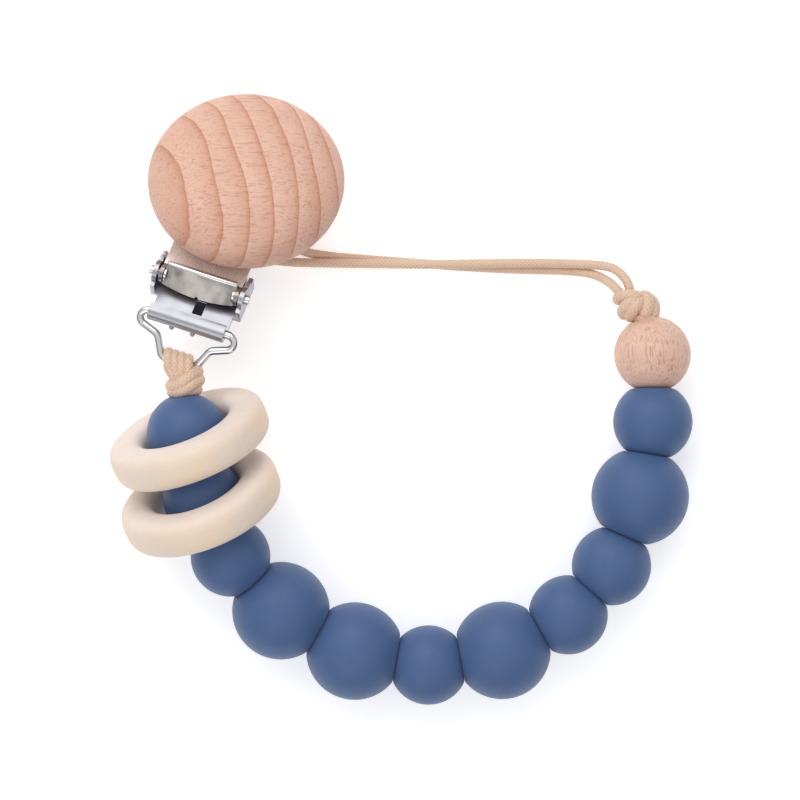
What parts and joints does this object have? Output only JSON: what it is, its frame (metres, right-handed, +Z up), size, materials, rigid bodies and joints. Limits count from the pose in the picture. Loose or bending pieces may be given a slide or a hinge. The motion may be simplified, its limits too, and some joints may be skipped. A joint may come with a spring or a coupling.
{
  "type": "beaded soother holder",
  "caption": "Beaded soother strap: metal clip with a domed wooden disc, D-ring, knotted cord with round silicone and wooden beads, loose wooden rings and a doubled cord loop.",
  "frame": {"origin": "on the table, under the centre of the laid-out object without its free cord loop", "axes": "+Z up from the table; +Y from the bead arc's middle towards the clip's disc; +X from the clip side to the wood bead side"},
  "size_m": [0.0893, 0.094, 0.0245],
  "materials": {
    "steel": "bright nickel-plated sheet and wire",
    "jaw_plastic": "moulded translucent white grip insert",
    "beech": "sanded unfinished beech",
    "pale_wood": "sanded unfinished maple",
    "silicone": "soft matte silicone",
    "cord": "waxed braided cotton cord"
  },
  "bodies": {
    "strand_start": {"bead_01": "silicone", "cord_in_bead_01": "cord", "d_ring_knot": "cord"},
    "d_ring": {"d_ring": "steel"},
    "clip": {"clip_base": "steel", "jaw_insert": "jaw_plastic"},
    "lever": {"lever_plate": "steel", "wood_disc": "beech", "hinge_stub_left": "steel", "hinge_stub_right": "steel"},
    "ring_1": {"ring_1": "pale_wood"},
    "ring_2": {"ring_2": "pale_wood"},
    "link_02": {"bead_02": "silicone", "cord_in_bead_02": "cord"},
    "link_03": {"bead_03": "silicone", "cord_in_bead_03": "cord"},
    "link_04": {"bead_04": "silicone", "cord_in_bead_04": "cord"},
    "link_05": {"bead_05": "silicone", "cord_in_bead_05": "cord"},
    "link_06": {"bead_06": "silicone", "cord_in_bead_06": "cord"},
    "link_07": {"bead_07": "silicone", "cord_in_bead_07": "cord"},
    "link_08": {"bead_08": "silicone", "cord_in_bead_08": "cord"},
    "link_09": {"bead_09": "silicone", "cord_in_bead_09": "cord"},
    "link_10": {"bead_10": "silicone", "cord_in_bead_10": "cord"},
    "link_11": {"bead_11": "silicone", "cord_in_bead_11": "cord"},
    "strand_end": {"wood_bead": "beech", "cord_in_wood_bead": "cord", "end_knot": "cord", "cord_loop": "cord"}
  },
  "joints": [
    {"name": "d_ring_swing", "type": "hinge", "parent": "strand_start", "child": "d_ring", "pos_m": [-0.03405, 0.00584, 0.01221], "axis": [0.9437, -0.3046, 0.129], "range_deg": [0, 25]},
    {"name": "clip_swing", "type": "hinge", "parent": "d_ring", "child": "clip", "pos_m": [-0.0323, 0.0118, 0.0135], "axis": [0.9437, -0.3046, 0.129], "range_deg": [0, 75]},
    {"name": "lever_open", "type": "hinge", "parent": "clip", "child": "lever", "pos_m": [-0.03041, 0.01749, 0.01311], "axis": [-0.9437, 0.3046, -0.129], "range_deg": [-95, 0]},
    {"name": "ring_1_spin", "type": "hinge", "parent": "strand_start", "child": "ring_1", "pos_m": [-0.0321, -0.00595, 0.01225], "axis": [-0.3368, 0.8773, 0.342], "continuous": true},
    {"name": "ring_2_spin", "type": "hinge", "parent": "link_02", "child": "ring_2", "pos_m": [-0.03035, -0.0154, 0.01205], "axis": [-0.3274, 0.8529, 0.4067], "continuous": true},
    {"name": "bend_01", "type": "hinge", "parent": "strand_start", "child": "link_02", "pos_m": [-0.03178, -0.0101, 0.01195], "axis": [0, 0, 1], "range_deg": [-11, 0]},
    {"name": "bend_02", "type": "hinge", "parent": "link_02", "child": "link_03", "pos_m": [-0.02846, -0.01974, 0.01159], "axis": [0, 0, 1], "range_deg": [-24, 0]},
    {"name": "bend_03", "type": "hinge", "parent": "link_03", "child": "link_04", "pos_m": [-0.02336, -0.02822, 0.00913], "axis": [0, 0, 1], "range_deg": [-40, 0]},
    {"name": "bend_04", "type": "hinge", "parent": "link_04", "child": "link_05", "pos_m": [-0.01318, -0.03647, 0.00752], "axis": [0, 0, 1], "range_deg": [-40, 0]},
    {"name": "bend_05", "type": "hinge", "parent": "link_05", "child": "link_06", "pos_m": [-0.0007, -0.04077, 0.00752], "axis": [0, 0, 1], "range_deg": [-38, 0]},
    {"name": "bend_06", "type": "hinge", "parent": "link_06", "child": "link_07", "pos_m": [0.0095, -0.04077, 0.00752], "axis": [0, 0, 1], "range_deg": [-40, 0]},
    {"name": "bend_07", "type": "hinge", "parent": "link_07", "child": "link_08", "pos_m": [0.0219, -0.03625, 0.00752], "axis": [0, 0, 1], "range_deg": [-38, 0]},
    {"name": "bend_08", "type": "hinge", "parent": "link_08", "child": "link_09", "pos_m": [0.02983, -0.02983, 0.00752], "axis": [0, 0, 1], "range_deg": [-38, 0]},
    {"name": "bend_09", "type": "hinge", "parent": "link_09", "child": "link_10", "pos_m": [0.03523, -0.02118, 0.00752], "axis": [0, 0, 1], "range_deg": [-34, 0]},
    {"name": "bend_10", "type": "hinge", "parent": "link_10", "child": "link_11", "pos_m": [0.03865, -0.00843, 0.00752], "axis": [0, 0, 1], "range_deg": [-8, 0]},
    {"name": "bend_11", "type": "hinge", "parent": "link_11", "child": "strand_end", "pos_m": [0.03918, 0.00174, 0.00698], "axis": [0, 0, 1], "range_deg": [-6, 0]}
  ]
}
